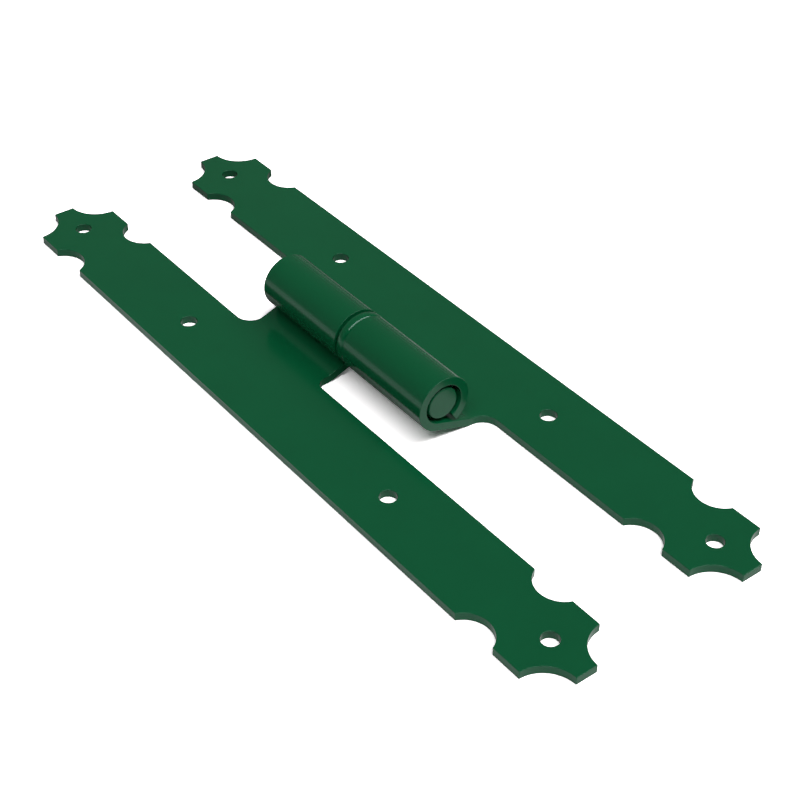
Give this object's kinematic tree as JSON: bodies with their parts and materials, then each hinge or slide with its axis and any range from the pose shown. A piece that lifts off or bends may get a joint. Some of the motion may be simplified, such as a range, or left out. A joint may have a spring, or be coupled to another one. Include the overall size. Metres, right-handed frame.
{
  "type": "shutter pintle hinge",
  "caption": "Lift-off hinge for a shutter: two long sheet-metal strap leaves with shaped ends and screw holes, rolled knuckles, a round pin and a washer between them.",
  "frame": {"origin": "on the plane of the leaves' back faces, under the pin's axis, at the middle of the washer between the knuckles", "axes": "+X from the frame leaf to the shutter leaf, +Y along the pin from its free end to its fixed end and along the leaves, +Z out of the leaves' front faces"},
  "size_m": [0.0968, 0.3, 0.0247],
  "materials": {
    "leaf_paint": "satin moss green powder coat on sheet steel",
    "pin_paint": "satin moss green powder coat on a steel pin",
    "washer_paint": "satin moss green powder coat on a steel ring"
  },
  "bodies": {
    "frame_side": {"frame_leaf": "leaf_paint", "pin": "pin_paint"},
    "washer": {"washer": "washer_paint"},
    "shutter_side": {"shutter_leaf": "leaf_paint"}
  },
  "joints": [
    {"name": "swing", "type": "hinge", "parent": "frame_side", "child": "washer", "pos_m": [0, 0, 0.0146], "axis": [0, -1, 0], "range_deg": [-95, 205]},
    {"name": "lift_off", "type": "slide", "parent": "washer", "child": "shutter_side", "axis": [0, -1, 0], "range_m": [0, 0.045]}
  ]
}
